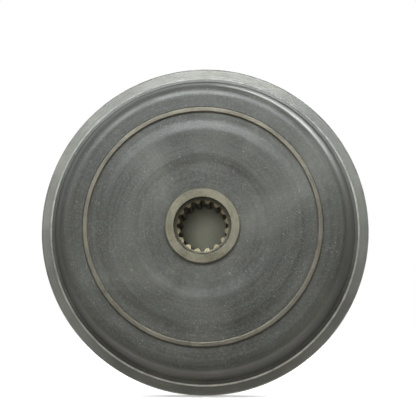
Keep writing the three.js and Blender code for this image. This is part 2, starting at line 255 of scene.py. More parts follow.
def polar(radius, angle):
    """The (x, z) point at a radius and an angle."""
    return radius * math.cos(angle), radius * math.sin(angle)


def sector_frames(start, end, steps):
    """Frames along an arc about the wheel's axis: u is outwards and v is forwards."""
    frames = []
    for i in range(steps + 1):
        angle = start + (end - start) * i / steps
        frames.append((Vector((0, 0, 0)), Vector((math.cos(angle), 0, math.sin(angle))), Vector((0, -1, 0))))
    return frames


def baked(piece):
    """Applies a piece's modifiers to its mesh."""
    graph = bpy.context.evaluated_depsgraph_get()
    mesh = bpy.data.meshes.new_from_object(piece.evaluated_get(graph))
    piece.modifiers.clear()
    old = piece.data
    piece.data = mesh
    mesh.name = piece.name
    bpy.data.meshes.remove(old)


def joined(name, pieces):
    """One mesh object from several, without joining their surfaces."""
    made = bmesh.new()
    for piece in pieces:
        made.from_mesh(piece.data)
        bpy.data.objects.remove(piece)
    mesh = bpy.data.meshes.new(name)
    made.to_mesh(mesh)
    made.free()
    whole = bpy.data.objects.new(name, mesh)
    scene.collection.objects.link(whole)
    return whole


def combined(piece, others, operation):
    """Cuts other pieces from a piece, or adds them to it, by the Boolean operation that is named."""
    tool = joined("tool", others)
    step = piece.modifiers.new("Combine", "BOOLEAN")
    step.operation = operation
    step.solver = "EXACT"
    step.use_self = False
    step.object = tool
    baked(piece)
    bpy.data.objects.remove(tool)


def bevelled(piece, width, angle):
    """Bevels a piece's edges that turn by more than an angle in degrees."""
    step = piece.modifiers.new("Bevel", "BEVEL")
    step.width = width * MM
    step.segments = 2
    step.limit_method = "ANGLE"
    step.angle_limit = math.radians(angle)
    step.harden_normals = False
    baked(piece)


def drill(radius, mouth, bottom, at, chamfer, point=0.0, segments=40):
    """A cutter for a round hole between two depths, with a chamfered mouth and a drill point."""
    outline = [(0, mouth - OVERCUT), (radius + chamfer + 0.001, mouth - OVERCUT), (radius + chamfer, mouth)]
    outline += [(radius, mouth + chamfer), (radius, bottom), (0, bottom + point)]
    return lathe("drill", outline, segments, at)


def dressed(piece, node, body, finish, angle=32):
    """Shades a finished mesh, gives it its material and puts it in the place of its CAD node."""
    piece.data.shade_smooth()
    piece.data.set_sharp_from_angle(angle=math.radians(angle))
    step = piece.modifiers.new("Normals", "WEIGHTED_NORMAL")
    step.keep_sharp = True
    step.weight = 60
    piece.data.materials.clear()
    piece.data.materials.append(finish)
    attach(piece, body)
    if node:
        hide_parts(node)


# ---- materials ----


def metres(*sizes):
    """Sizes in millimetres as the metres that the finishes use."""
    return [size * MM for size in sizes]


class Finish:
    """One procedural material. Its coordinates are the piece's own, in metres, so it turns with the piece."""

    def __init__(self, name):
        self.material = bpy.data.materials.new(name)
        self.material.use_nodes = True
        self.tree = self.material.node_tree
        self.shader = self.tree.nodes["Principled BSDF"]
        self.where = self.node("ShaderNodeTexCoord").outputs["Object"]
        flat = self.vector("MULTIPLY", self.where, (1, 0, 1))
        self.radius = self.vector("LENGTH", flat, None)
        split = self.node("ShaderNodeSeparateXYZ")
        self.tree.links.new(self.where, split.inputs[0])
        self.x, self.y, self.z = split.outputs
        self.around = self.math("ARCTAN2", self.z, self.x)

    def node(self, kind, **settings):
        made = self.tree.nodes.new(kind)
        for key, value in settings.items():
            setattr(made, key, value)
        return made

    def put(self, socket, value):
        if isinstance(value, bpy.types.NodeSocket):
            self.tree.links.new(value, socket)
        elif value is not None:
            is_colour = hasattr(socket.default_value, "__len__") and len(socket.default_value) == 4
            if is_colour and len(value) == 3:
                value = (*value, 1)
            socket.default_value = value

    def math(self, operation, a, b=None, c=None, clamp=False):
        made = self.node("ShaderNodeMath", operation=operation, use_clamp=clamp)
        for socket, value in zip(made.inputs, (a, b, c)):
            self.put(socket, value)
        return made.outputs[0]

    def vector(self, operation, a, b):
        made = self.node("ShaderNodeVectorMath", operation=operation)
        self.put(made.inputs[0], a)
        self.put(made.inputs[1], b)
        return made.outputs["Value" if operation == "LENGTH" else "Vector"]

    def noise(self, scale, detail=4.0, roughness=0.55, stretch=None, distortion=0.0):
        """A noise between 0 and 1 with features of about 1 / scale metres."""
        made = self.node("ShaderNodeTexNoise")
        where = self.vector("MULTIPLY", self.where, stretch) if stretch else self.where
        self.put(made.inputs["Vector"], where)
        made.inputs["Scale"].default_value = scale
        made.inputs["Detail"].default_value = detail
        made.inputs["Roughness"].default_value = roughness
        made.inputs["Distortion"].default_value = distortion
        return made.outputs["Fac"]

    def ring_noise(self, scale, around=1.0, detail=3.0):
        """Noise in rings about the axis: fine along the radius and the depth, long round the wheel."""
        made = self.node("ShaderNodeTexNoise")
        join = self.node("ShaderNodeCombineXYZ")
        self.put(join.inputs[0], self.radius)
        self.put(join.inputs[1], self.y)
        self.put(join.inputs[2], self.math("MULTIPLY", self.math("COSINE", self.around), around * MM))
        self.put(made.inputs["Vector"], join.outputs[0])
        made.inputs["Scale"].default_value = scale
        made.inputs["Detail"].default_value = detail
        return made.outputs["Fac"]

    def cells(self, scale):
        """Distance to the nearest of some scattered points, about 1 / scale metres apart."""
        made = self.node("ShaderNodeTexVoronoi", feature="F1")
        self.put(made.inputs["Vector"], self.where)
        made.inputs["Scale"].default_value = scale
        return made.outputs["Distance"]

    def band(self, value, low, high, to_low=0.0, to_high=1.0):
        """value's range from low to high mapped smoothly to to_low..to_high."""
        made = self.node("ShaderNodeMapRange", interpolation_type="SMOOTHSTEP")
        for socket, number in zip(made.inputs, (value, low, high, to_low, to_high)):
            self.put(socket, number)
        return made.outputs[0]

    def near(self, value, middle, reach):
        """1 where value is at middle, falling to 0 at a distance of reach."""
        away = self.math("ABSOLUTE", self.math("SUBTRACT", value, middle))
        return self.band(away, 0.0, reach, 1.0, 0.0)

    def mix(self, factor, a, b):
        made = self.node("ShaderNodeMix", data_type="RGBA")
        self.put(made.inputs["Factor"], factor)
        self.put(made.inputs[6], a)
        self.put(made.inputs[7], b)
        return made.outputs[2]

    def bump(self, height, distance, strength=1.0, under=None):
        made = self.node("ShaderNodeBump")
        made.inputs["Distance"].default_value = distance
        made.inputs["Strength"].default_value = strength
        self.put(made.inputs["Height"], height)
        self.put(made.inputs["Normal"], under)
        return made.outputs[0]

    def set(self, **inputs):
        names = {"color": "Base Color", "metallic": "Metallic", "roughness": "Roughness", "normal": "Normal",
                 "specular": "Specular IOR Level"}
        for key, value in inputs.items():
            self.put(self.shader.inputs[names[key]], value)
        return self.material


def dusted(finish, colour, amount):
    """Pale dust specks and smears laid over a colour. Returns the colour and the dust mask."""
    specks = finish.band(finish.cells(520), 0.09, 0.20, 1.0, 0.0)
    gate = finish.band(finish.noise(55, 3), 0.50, 0.62)
    grit = finish.band(finish.cells(170), 0.055, 0.105, 1.0, 0.0)
    grit = finish.math("MULTIPLY", grit, finish.band(finish.noise(140, 2), 0.50, 0.58))
    fine = finish.band(finish.noise(1500, 2, 0.6), 0.62, 0.72)
    smear = finish.band(finish.noise(9, 5, 0.6, distortion=0.8), 0.42, 0.75, 0.0, 0.22)
    mask = finish.math("MAXIMUM", finish.math("MULTIPLY", specks, gate), grit)
    mask = finish.math("MAXIMUM", mask, finish.math("MULTIPLY", fine, 0.55))
    mask = finish.math("ADD", finish.math("MULTIPLY", mask, 0.8), smear, clamp=True)
    mask = finish.math("MULTIPLY", mask, amount)
    return finish.mix(mask, colour, (0.30, 0.30, 0.26)), mask


def dark_sheet():
    """Pressed sheet with a thin satin black coating, dusty, and rubbed bare at the cover's foot."""
    f = Finish("dark_sheet")
    clouds = f.band(f.noise(11, 5, 0.6, distortion=0.6), 0.35, 0.68)
    base = f.mix(clouds, (0.0195, 0.0200, 0.0162), (0.036, 0.0365, 0.0295))
    streak = f.band(f.ring_noise(420, 6), 0.35, 0.65)
    base = f.mix(f.math("MULTIPLY", streak, 0.22), base, (0.070, 0.070, 0.062))
    speckle = f.band(f.noise(560, 2, 0.5), 0.50, 0.66)
    base = f.mix(f.math("MULTIPLY", speckle, 0.28), base, (0.090, 0.091, 0.080))
    colour, dust = dusted(f, base, 0.62)
    foot_edge = f.near(f.radius, *metres(COVER_FOOT_R + 0.2, 1.1))
    rub = f.math("MULTIPLY", foot_edge, f.band(f.noise(70, 4), 0.30, 0.55))
    colour = f.mix(f.math("MULTIPLY", rub, 0.75), colour, (0.30, 0.30, 0.27))
    rough = f.math("ADD", f.band(f.noise(26, 5), 0.3, 0.7, 0.36, 0.50), f.math("MULTIPLY", dust, 0.35))
    peel = f.bump(f.noise(900, 3), 0.00010, 0.6)
    lay = f.bump(f.ring_noise(1600, 8), 0.00006, 0.6, peel)
    dents = f.bump(f.noise(18, 2), 0.0012, 0.10, lay)
    return f.set(color=colour, metallic=0.0, roughness=rough, normal=dents, specular=0.49)


def casting():
    """Grey iron, turned on the rim and the rear pad, sand-cast and dark between them."""
    f = Finish("casting")
    depth = f.math("MULTIPLY", f.y, -1.0)
    rim = f.band(f.radius, *metres(WALL_FOOT_R - 0.3, WALL_FOOT_R + 0.7))
    pad = f.math("MULTIPLY", f.band(f.radius, *metres(PAD_R - 0.2, PAD_R + 0.3), 1.0, 0.0),
                 f.band(depth, *metres(REGISTER_DEPTH + 0.5, REGISTER_DEPTH + 1), 1.0, 0.0))
    rear_rim = f.math("MULTIPLY", f.band(f.radius, *metres(RIM_INNER_R - 0.4, RIM_INNER_R + 0.2)),
                      f.band(depth, *metres(RIM_REAR + 1, RIM_REAR + 1.6), 1.0, 0.0))
    turned = f.math("MAXIMUM", f.math("MAXIMUM", rim, pad), rear_rim)
    clean = f.math("MAXIMUM", pad, f.math("MULTIPLY", rear_rim, 0.55))
    grain = f.noise(520, 5, 0.65)
    clouds = f.band(f.noise(16, 5, 0.6), 0.32, 0.7)
    rough_iron = f.mix(clouds, (0.026, 0.027, 0.024), (0.052, 0.051, 0.044))
    rough_iron = f.mix(f.band(grain, 0.56, 0.74, 0.0, 0.35), rough_iron, (0.12, 0.115, 0.10))
    marks = f.band(f.ring_noise(2600, 5), 0.3, 0.7)
    bare = f.mix(clouds, (0.105, 0.106, 0.098), (0.165, 0.163, 0.148))
    bare = f.mix(f.math("MULTIPLY", marks, 0.30), bare, (0.24, 0.235, 0.21))
    stain = f.band(f.noise(38, 6, 0.7), 0.58, 0.76, 0.0, 0.45)
    bare = f.mix(clean, bare, f.mix(marks, (0.24, 0.235, 0.215), (0.36, 0.35, 0.32)))
    edge = f.math("MAXIMUM", f.near(f.radius, *metres(WHEEL_R - 0.4, 0.7)),
                  f.near(f.radius, *metres(PAD_R - 0.4, 0.8)))
    edge = f.math("MULTIPLY", edge, f.band(f.noise(90, 5, 0.65), 0.38, 0.58))
    bare = f.mix(f.math("MULTIPLY", edge, 0.7), bare, (0.42, 0.41, 0.38))
    bare = f.mix(stain, bare, (0.075, 0.062, 0.042))
    colour, dust = dusted(f, f.mix(turned, rough_iron, bare), 0.35)
    rough_cast = f.band(f.noise(60, 4), 0.3, 0.7, 0.60, 0.78)
    rough_bare = f.band(f.noise(45, 4), 0.3, 0.7, 0.34, 0.50)
    rough = f.node("ShaderNodeMix", data_type="FLOAT")
    f.put(rough.inputs[0], turned)
    f.put(rough.inputs[2], rough_cast)
    f.put(rough.inputs[3], rough_bare)
    sand = f.math("MULTIPLY", grain, f.math("SUBTRACT", 1.0, turned))
    skin = f.bump(sand, 0.00070, 0.9)
    lumps = f.bump(f.math("MULTIPLY", f.noise(110, 3), f.math("SUBTRACT", 1.0, turned)), 0.0016, 0.5, skin)
    grooves = f.bump(f.math("MULTIPLY", f.ring_noise(3200, 2), turned), 0.00010, 0.8, lumps)
    metallic = f.math("MULTIPLY", turned, 0.75)
    return f.set(color=colour, metallic=metallic, roughness=rough.outputs[0], normal=grooves)


def turned_metal(name, dark, light, stain, rough, marks, metallic=0.92, stained=0.5, dust=0.25, spline=False):
    """Turned metal with rings of tool marks, tarnish and a little dust. The hub's spline is brighter than its
    face, and the floor of the counterbore is painted nearly black as painted shade in the recess."""
    f = Finish(name)
    clouds = f.band(f.noise(42, 5, 0.62), 0.32, 0.68)
    colour = f.mix(clouds, dark, light)
    rings = f.band(f.ring_noise(marks, 6), 0.32, 0.68)
    colour = f.mix(f.math("MULTIPLY", rings, 0.35), colour, tuple(min(1.0, 1.35 * c) for c in light))
    tarnish = f.band(f.noise(75, 6, 0.7, distortion=0.5), 0.52, 0.74, 0.0, stained)
    colour = f.mix(tarnish, colour, stain)
    if spline:
        bore = f.band(f.radius, *metres(SPLINE_ROOT_R + 0.4, SPLINE_ROOT_R))
        fresh = f.mix(clouds, (0.085, 0.073, 0.044), (0.150, 0.130, 0.080))
        colour = f.mix(bore, colour, fresh)
        # painted shade: the counterbore's floor, a recess, is painted nearly black
        counterbore_painted_shade = f.math("MULTIPLY", f.band(f.radius, *metres(SPLINE_ROOT_R - 0.2, SPLINE_ROOT_R + 0.3)),
                      f.band(f.radius, *metres(COUNTERBORE_R + 0.35, COUNTERBORE_R)))
        colour = f.mix(f.math("MULTIPLY", counterbore_painted_shade, 0.85), colour, (0.030, 0.029, 0.023))
    colour, specks = dusted(f, colour, dust)
    rough_out = f.math("ADD", f.band(f.noise(95, 4), 0.3, 0.7, rough - 0.07, rough + 0.09),
                       f.math("MULTIPLY", specks, 0.3))
    if spline:
        rough_out = f.math("ADD", rough_out, f.math("MULTIPLY", bore, 0.04))
    fine = f.bump(f.ring_noise(marks * 1.6, 4, 2), 0.00008, 0.8)
    pits = f.bump(f.band(f.noise(900, 4, 0.7), 0.36, 0.46), 0.00012, 0.5, fine)
    return f.set(color=colour, metallic=metallic, roughness=rough_out, normal=pits)


def plain_metal(name, dark, light, stain, rough, metallic=0.95, grain=900, depth=0.00010, uneven=0.09):
    """Ground, peened, plated or sintered metal, by the colours and the grain that it is given."""
    f = Finish(name)
    clouds = f.band(f.noise(120, 5, 0.6), 0.32, 0.68)
    colour = f.mix(clouds, dark, light)
    spots = f.band(f.noise(330, 5, 0.7), 0.58, 0.72, 0.0, 0.6)
    colour = f.mix(spots, colour, stain)
    scuffs = f.band(f.noise(160, 3, 0.5, stretch=(1, 9, 1)), 0.64, 0.74, 0.0, 0.35)
    colour = f.mix(scuffs, colour, tuple(min(1.0, 1.6 * c) for c in light))
    rough_out = f.band(f.noise(210, 4), 0.3, 0.7, rough - uneven, rough + uneven)
    skin = f.bump(f.noise(grain, 4, 0.6), depth, 0.7)
    return f.set(color=colour, metallic=metallic, roughness=rough_out, normal=skin)


def nylon():
    """Natural nylon filled with short glass, a little greasy."""
    f = Finish("nylon")
    clouds = f.band(f.noise(60, 4), 0.3, 0.7)
    colour = f.mix(clouds, (0.55, 0.50, 0.38), (0.68, 0.63, 0.50))
    fibres = f.band(f.noise(700, 3, 0.5, stretch=(1, 5, 1)), 0.60, 0.72, 0.0, 0.4)
    colour = f.mix(fibres, colour, (0.82, 0.79, 0.70))
    grease = f.band(f.noise(30, 4), 0.55, 0.7, 0.0, 0.5)
    colour = f.mix(grease, colour, (0.20, 0.15, 0.08))
    rough = f.band(f.noise(80, 4), 0.3, 0.7, 0.35, 0.60)
    return f.set(color=colour, roughness=rough, normal=f.bump(f.noise(1100, 3), 0.00008, 0.6))


SHEET = dark_sheet()
CASTING = casting()
HUB = turned_metal("machined_hub", (0.098, 0.092, 0.067), (0.174, 0.163, 0.121), (0.074, 0.060, 0.035),
                   rough=0.42, marks=2300, spline=True)
RING = turned_metal("bare_ring", (0.089, 0.082, 0.066), (0.139, 0.128, 0.101), (0.062, 0.049, 0.032),
                    rough=0.50, marks=1700, metallic=0.85, stained=0.6, dust=0.3)
WELD = plain_metal("weld", (0.36, 0.36, 0.33), (0.54, 0.54, 0.50), (0.17, 0.145, 0.10), 0.44, metallic=0.8,
                   grain=600, depth=0.00018)
HARDENED = plain_metal("hardened_steel", (0.20, 0.20, 0.19), (0.25, 0.25, 0.237), (0.13, 0.115, 0.085), 0.36)
SPRING = plain_metal("spring_steel", (0.085, 0.09, 0.105), (0.15, 0.155, 0.17), (0.05, 0.045, 0.035), 0.34,
                     grain=1500, depth=0.00014)
CAP = plain_metal("cap_plate", (0.50, 0.51, 0.435), (0.54, 0.55, 0.47), (0.46, 0.46, 0.385), 0.52,
                  metallic=0.9, grain=2400, depth=0.00001, uneven=0.02)
ZINC = plain_metal("zinc_plate", (0.44, 0.52, 0.50), (0.62, 0.68, 0.64), (0.33, 0.36, 0.29), 0.27)
BRONZE = plain_metal("bronze", (0.36, 0.23, 0.10), (0.50, 0.33, 0.15), (0.18, 0.11, 0.06), 0.42, grain=1800,
                     depth=0.00016)
NYLON = nylon()

# ---- primary mass ----

primary = lathe("primary_mass_fine", rounded([
    (REGISTER_R, 0, 0.4), (PAD_R, 0, 0.7), (PAD_R + DISC_SLOPE, DISC_REAR, 2.2),
    (RIM_INNER_R - DISC_SLOPE, DISC_REAR, 2.2), (RIM_INNER_R, RIM_REAR, 0.7),
    (WHEEL_R - RIM_CHAMFER, RIM_REAR, 0.5), (WHEEL_R, RIM_REAR + RIM_CHAMFER, 0.5),
    (WHEEL_R, RIM_FRONT - RIM_CHAMFER, 0.5), (WHEEL_R - RIM_CHAMFER, RIM_FRONT, 0.5),
    (WALL_FOOT_R, RIM_FRONT, 1.5), (WALL_TOP_R, WALL_FRONT, 0.6), (CHANNEL_OUTER_R, WALL_FRONT, 0.6),
    (CHANNEL_OUTER_R, CHANNEL_FLOOR, 3.0), (CHANNEL_INNER_R, CHANNEL_FLOOR, 2.0),
    (CHANNEL_INNER_R, STEP_FRONT, 1.0), (PAD_R, STEP_FRONT, 1.2), (PAD_R, PAD_FRONT, 0.6),
    (HOUSING_R, PAD_FRONT, 0.6), (HOUSING_R, REGISTER_DEPTH), (REGISTER_R, REGISTER_DEPTH, 0.4),
]), RIM_SEGMENTS)

CAST_LUG_INNER_R = CHANNEL_INNER_R + 3
CAST_LUG_OUTER_R = 125.5        # sunk in the channel's wall
CAST_LUG_REAR = CHANNEL_FLOOR - 1
CAST_LUG_FRONT = 34
cast_lug_section = rounded([
    (CAST_LUG_INNER_R, CAST_LUG_REAR), (CAST_LUG_OUTER_R, CAST_LUG_REAR),
    (CAST_LUG_OUTER_R, CAST_LUG_FRONT, 0.8), (CAST_LUG_INNER_R, CAST_LUG_FRONT, 2.0),
], 4)
combined(primary, [swept("lug", cast_lug_section, sector_frames(lug - LUG_HALF, lug + LUG_HALF, 6))
                   for lug in LUG_ANGLES], "UNION")

holes = [drill(STUD_R + GAP, 0, 22, polar(STUD_CIRCLE_R, a), chamfer=0.9, point=2.6) for a in LUG_ANGLES]
holes += [drill(DOWEL_R + GAP, 0, 12, polar(STUD_CIRCLE_R, a), chamfer=0.6, point=1.2) for a in PAIR_ANGLES]
holes += [drill(PLUG_R + GAP, DISC_REAR, 15, polar(PLUG_CIRCLE_R, a), chamfer=0.6) for a in PAIR_ANGLES]
holes += [drill(BALANCE_R, RIM_REAR, 8.4, polar(BALANCE_CIRCLE_R, a), chamfer=0.3, point=2.2)
          for a in BALANCE_ANGLES]
combined(primary, holes, "DIFFERENCE")
dressed(primary, "primary_mass", "primary", CASTING)

# ---- front cover, its seam and its stop blocks ----


def quarter_round(radius, steps):
    """The cover's shoulder at a radius about its centre, from the skirt round to the flat front."""
    middle_r = COVER_SHOULDER_R - COVER_ROUND
    middle_d = COVER_FRONT - COVER_ROUND
    turns = [i * TURN / 4 / steps for i in range(steps + 1)]
    return [(middle_r + radius * math.cos(t), middle_d + radius * math.sin(t)) for t in turns]


def cover_outline():
    """The cover's section: foot, leaning skirt, round shoulder, flat front and the lip turned back inside."""
    shoulder = quarter_round(COVER_ROUND, 16)
    inside = quarter_round(COVER_ROUND - SKIN, 12)
    foot = rounded([
        (134.3, COVER_FOOT, 0.3), (COVER_FOOT_R, COVER_FOOT, 0.4), (COVER_FOOT_R, COVER_FOOT + 2.5, 1.0),
        (137.0, SKIN + COVER_FOOT, 1.5), shoulder[0],
    ], 5)[:-1]
    lip = rounded([
        shoulder[-1], (COVER_LIP_R, COVER_FRONT, 0.4), (COVER_LIP_R, COVER_LIP_REAR, 0.5),
        (COVER_LIP_R + SKIN, COVER_LIP_REAR, 0.5), (COVER_LIP_R + SKIN, COVER_FRONT - SKIN, 0.8), inside[-1],
    ], 5)[1:-1]
    return foot + shoulder + lip + inside[::-1]


cover = lathe("front_cover_fine", cover_outline(), RIM_SEGMENTS)
dressed(cover, "front_cover", "primary", SHEET, 40)


WELD_INNER_R = COVER_FOOT_R + 0.05
WELD_REAR = RIM_FRONT + 0.05
WELD_SCALES = 280               # round the wheel
WELD_WANDER = 11                # waves of it round the wheel


def ripple(radius, depth, angle):
    """The weld's overlapping scales, and its slight wander. The faces on the steel stay where they are."""
    scale = 0.10 * abs(math.sin(angle * WELD_SCALES / 2)) + 0.05 * math.sin(angle * WELD_WANDER)
    outwards = scale if radius > WELD_INNER_R else 0
    forwards = 0.5 * scale if depth > WELD_REAR else 0
    return radius + outwards, depth + forwards


weld = lathe("cover_weld", [
    (WELD_INNER_R, WELD_REAR), (141.9, WELD_REAR), (141.6, 18.7), (141.0, 19.4), (WELD_INNER_R, 19.9),
], 1440, shift=ripple)
dressed(weld, None, "primary", WELD, 60)

BLOCK_INNER_R, BLOCK_OUTER_R = 90, 117
BLOCK_REAR, BLOCK_FRONT = 42.2, 57.2
block_section = ring_section(BLOCK_INNER_R, BLOCK_OUTER_R, BLOCK_REAR, BLOCK_FRONT, 0.8)
for i, lug in enumerate(LUG_ANGLES):
    block = swept(f"stop_block_{i + 1}_fine", block_section, sector_frames(lug - LUG_HALF, lug + LUG_HALF, 8))
    bevelled(block, width=0.5, angle=50)
    dressed(block, f"stop_block_{i + 1}", "primary", HARDENED)

# ---- seal ring and web plate ----

# The ring's two thin lips close the joint with the cover and wipe the edge of the web plate.
outer_lip = COVER_LIP_R - SEAL_LIP_CLEAR
inner_lip = WEB_R + SEAL_LIP_CLEAR
seal = lathe("seal_ring_fine", rounded([
    (SEAL_INNER_R, SEAL_REAR, 0.5), (SEAL_OUTER_R, SEAL_REAR, 0.5),
    (SEAL_OUTER_R, SEAL_LIP_REAR, 0.1), (outer_lip, SEAL_LIP_REAR, 0.1),
    (outer_lip, SEAL_LIP_FRONT, 0.1), (SEAL_OUTER_R, SEAL_LIP_FRONT, 0.1),
    (SEAL_OUTER_R, SEAL_FRONT, 0.8), (SEAL_INNER_R, SEAL_FRONT, 0.8),
    (SEAL_INNER_R, SEAL_LIP_FRONT, 0.1), (inner_lip, SEAL_LIP_FRONT, 0.1),
    (inner_lip, SEAL_LIP_REAR, 0.1), (SEAL_INNER_R, SEAL_LIP_REAR, 0.1),
], 4), RIM_SEGMENTS)
dressed(seal, "seal_ring", "primary", RING)


def web_face(depth, bore_fillet, rim_fillet):
    """One face of the web plate from the hub outwards, with the raised bead in it."""
    return [
        (WEB_BORE_R, depth, bore_fillet), (BEAD_INNER_R, depth, BEAD_EASE),
        (BEAD_INNER_R + BEAD_SLOPE, depth + BEAD_RISE, BEAD_EASE),
        (BEAD_OUTER_R - BEAD_SLOPE, depth + BEAD_RISE, BEAD_EASE),
        (BEAD_OUTER_R, depth, BEAD_EASE), (WEB_R, depth, rim_fillet),
    ]


web_outline = web_face(COVER_FRONT - SKIN, 0.3, 0.4) + web_face(COVER_FRONT, 0.1, 0.3)[::-1]
web = lathe("web_plate_fine", rounded(web_outline, 8), RIM_SEGMENTS)
dressed(web, "web_plate", "hub", SHEET, 40)

# ---- hub sleeve ----


def spline_outline():
    """The shape cut through the hub: tooth spaces with curved flanks and rounded roots."""
    pitch = TURN / SPLINE_TEETH
    # (radius, half the space's width as a share of the pitch), from the tooth's tip to its root
    flank = [(20.0, 0.345), (20.25, 0.322), (20.7, 0.293), (21.2, 0.262), (21.7, 0.227), (22.1, 0.196),
             (22.38, 0.160), (SPLINE_ROOT_R, 0.115)]
    points = []
    for tooth in range(SPLINE_TEETH):
        middle = tooth * pitch
        points += [polar(r, middle - share * pitch) for r, share in flank]
        points += [polar(r, middle + share * pitch) for r, share in reversed(flank)]
    return points


def tooth_chamfer(depth, way, mouth_r):
    """A cutter that chamfers the teeth's ends at a depth. way is 1 at the front and -1 at the rear."""
    end = depth - way * 2.2
    return lathe("cut", [
        (0, depth + way * OVERCUT), (mouth_r, depth + way * OVERCUT), (mouth_r, depth), (19.4, end), (0, end),
    ], HUB_SEGMENTS)


hub = lathe("hub_sleeve_fine", rounded([
    (HUB_BLANK_R, HUB_REAR), (NOSE_R, HUB_REAR, 1.0), (NOSE_R, HUB_FLANGE_REAR, 0.8),
    (HUB_FLANGE_R, HUB_FLANGE_REAR, 0.6), (HUB_FLANGE_R, HUB_FLANGE_FRONT, 0.6),
    (HUB_R, HUB_FLANGE_FRONT, 0.8),
    (HUB_R, HUB_FRONT - HUB_CHAMFER, 0.2), (HUB_R - HUB_CHAMFER, HUB_FRONT, 0.2),
    (COUNTERBORE_R + 0.5, HUB_FRONT, 0.1), (COUNTERBORE_R, HUB_FRONT - 0.5, 0.1),
    (COUNTERBORE_R, COUNTERBORE_REAR, 0.3), (HUB_BLANK_R, COUNTERBORE_REAR),
], 4), HUB_SEGMENTS)
spline_cut = prism("cut", spline_outline(), HUB_REAR - OVERCUT, COUNTERBORE_REAR + OVERCUT)
combined(hub, [spline_cut], "DIFFERENCE")
combined(hub, [tooth_chamfer(COUNTERBORE_REAR, 1, 23.4)], "DIFFERENCE")
combined(hub, [tooth_chamfer(HUB_REAR, -1, 23.6)], "DIFFERENCE")
rivet_places = [polar(RIVET_CIRCLE_R, angle) for angle in RIVET_ANGLES]
combined(hub, [drill(RIVET_R + GAP, HUB_FLANGE_REAR, FLANGE_REAR + OVERCUT, place, chamfer=0.4)
               for place in rivet_places], "DIFFERENCE")
dressed(hub, "hub_sleeve", "hub", HUB)

# ---- drive flange and rivets ----


FLARE = math.radians(4.6)       # how far a lug's foot spreads round the flange, both sides together
FLARE_STEPS = 4
FLARE_RISE = 3.0
TIP_DROP = 0.8                  # at a lug's two outer corners
TIP_FLAT = 0.88                 # share of a lug's width between them
EDGE_STEPS = 14                 # of the flange's edge between two lugs


def flare(lug, side):
    """The foot of a lug on one side, from the flange's edge up to the lug. side is -1 or 1."""
    points = []
    for step in range(FLARE_STEPS + 1):
        swing = FLARE * (1 - step / FLARE_STEPS) ** 2
        radius = FLANGE_R + FLARE_RISE * (step / FLARE_STEPS) ** 2
        points.append(polar(radius, lug + side * LUG_HALF + side * swing * 0.5))
    return points


def flange_outline():
    """The flange's edge with its six lugs."""
    points = []
    for lug in LUG_ANGLES:
        points += flare(lug, -1)
        points += [polar(LUG_R - TIP_DROP, lug - LUG_HALF), polar(LUG_R, lug - LUG_HALF * TIP_FLAT)]
        points += [polar(LUG_R, lug), polar(LUG_R, lug + LUG_HALF * TIP_FLAT)]
        points += [polar(LUG_R - TIP_DROP, lug + LUG_HALF)]
        points += flare(lug, 1)[::-1]
        start, end = lug + math.radians(7.5), lug + math.radians(52.5)
        points += [polar(FLANGE_R, start + (end - start) * k / EDGE_STEPS) for k in range(EDGE_STEPS + 1)]
    return points


flange = prism("drive_flange_fine", flange_outline(), FLANGE_REAR, FLANGE_FRONT)
cut_ends = (FLANGE_REAR - OVERCUT, FLANGE_FRONT + OVERCUT)
combined(flange, [plug_cutter(HUB_R + 0.5, *cut_ends, 128)], "DIFFERENCE")
combined(flange, [plug_cutter(RIVET_R + GAP, *cut_ends, 32, place) for place in rivet_places], "DIFFERENCE")
bevelled(flange, width=0.5, angle=40)
dressed(flange, "drive_flange", "hub", HARDENED)

SET_HEAD = HUB_FLANGE_REAR - GAP                # front of the flat head behind the hub's flange
FORMED_HEAD = FLANGE_FRONT + GAP                # rear of the crowned head on the drive flange
RIVET_REAR, RIVET_FRONT = 27.0, 45.0
RIVET_OUTLINE = rounded([
    (0, RIVET_REAR), (RIVET_HEAD_R, RIVET_REAR, 0.5), (RIVET_HEAD_R, SET_HEAD, 0.3), (RIVET_R, SET_HEAD),
    (RIVET_R, FORMED_HEAD), (RIVET_HEAD_R, FORMED_HEAD, 0.3), (6.4, 42.4, 0.8),
    (5.0, 44.3, 1.6), (2.4, RIVET_FRONT, 1.0), (0, RIVET_FRONT),
], 4)
for i, place in enumerate(rivet_places):
    rivet = lathe(f"rivet_{i + 1}_fine", RIVET_OUTLINE, 40, place)
    dressed(rivet, f"rivet_{i + 1}", "hub", HARDENED)

# ---- springs and shoes ----

COIL_STEPS = 44
WIRE_SIDES = 18
COIL_TURNS = 6
COIL_R = 14.5                   # from the middle of a coil to the middle of its wire
WIRE_R = 3.5
ARC_R = 102                     # radius of the arc that the springs lie on
ARC_DEPTH = 38
END_RISE = 0.55                 # how far an end coil climbs, in wire thicknesses
SPRING_END = math.radians(6.8)  # from a lug's middle to the first coil
SHOE_END = math.radians(8)
SHOE_REAR, SHOE_FRONT = 29, 45


